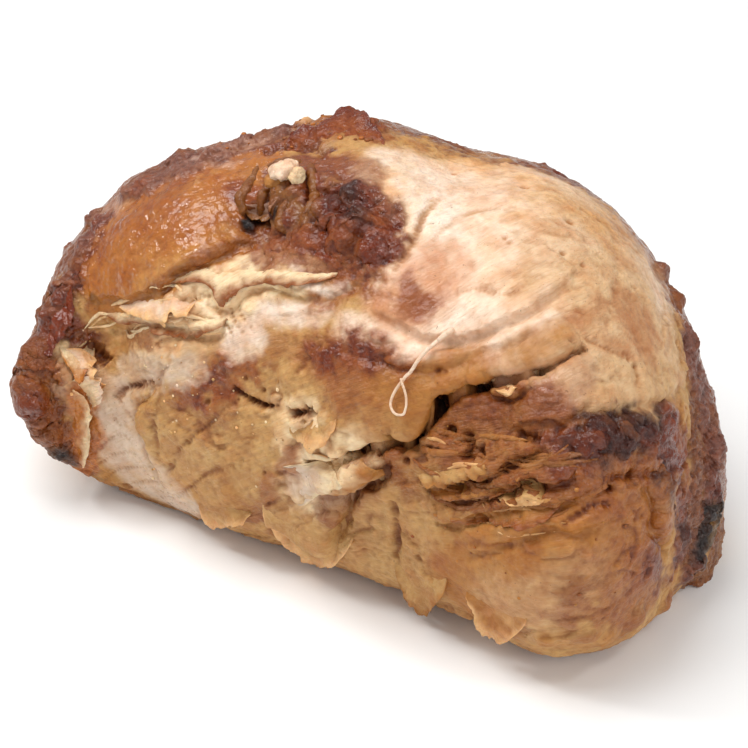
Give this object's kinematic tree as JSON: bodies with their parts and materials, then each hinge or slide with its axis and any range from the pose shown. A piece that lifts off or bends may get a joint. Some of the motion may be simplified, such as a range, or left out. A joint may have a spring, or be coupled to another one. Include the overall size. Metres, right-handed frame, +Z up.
{
  "type": "roast turkey breast",
  "caption": "Boned and torn piece of roast turkey breast meat, domed on top, ragged along the front, with a flat underside it rests on.",
  "frame": {"origin": "centre of the piece's bounding box in plan, on the flat underside that it rests on", "axes": "+X along the length towards the high rounded end, -Y towards the torn side, +Z up"},
  "size_m": [0.2029, 0.1677, 0.1084],
  "materials": {
    "roast_meat": "moist cooked poultry meat, cream to tan, with browned and scorched patches and some glossy orange-brown skin"
  },
  "bodies": {
    "root": {"roast_turkey": "roast_meat"}
  },
  "joints": []
}
